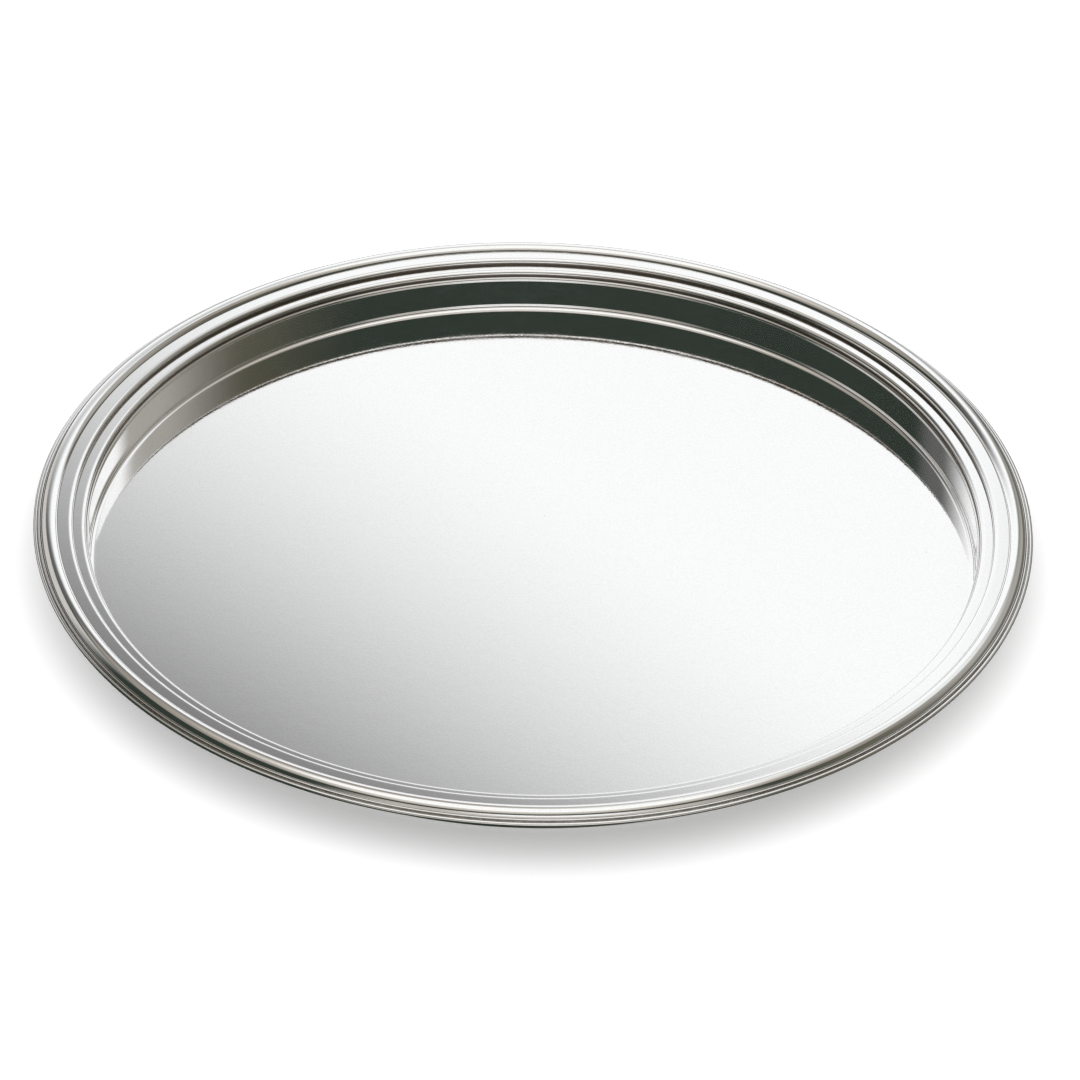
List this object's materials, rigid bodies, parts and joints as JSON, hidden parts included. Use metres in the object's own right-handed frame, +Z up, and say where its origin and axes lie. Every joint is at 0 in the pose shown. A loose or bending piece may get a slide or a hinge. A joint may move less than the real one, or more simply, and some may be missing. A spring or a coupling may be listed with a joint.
{
  "type": "round serving salver",
  "caption": "Round polished serving tray with a flat well, upright wall, stepped border of soldered reeds, hollow half-round rim moulding and a thin beaded lip.",
  "frame": {"origin": "centre of the underside of the floor, on the surface the salver stands on", "axes": "+Z up through the centre of the well; the shape is the same all round Z, so X and Y are free"},
  "size_m": [0.356, 0.356, 0.0206],
  "materials": {
    "polished_sheet": "mirror-polished silver plate on spun nickel silver sheet, with a fine haze of wiping marks",
    "polished_border": "mirror-polished silver plate on drawn wire and moulding, slightly darker in the grooves",
    "solder": "dull grey cast solder"
  },
  "bodies": {
    "root": {"well_plate": "polished_sheet", "inner_reed": "polished_border", "middle_reed": "polished_border", "rim_moulding": "polished_border", "rim_filling": "solder", "edge_ring": "polished_border", "edge_thread": "polished_border"}
  },
  "joints": []
}
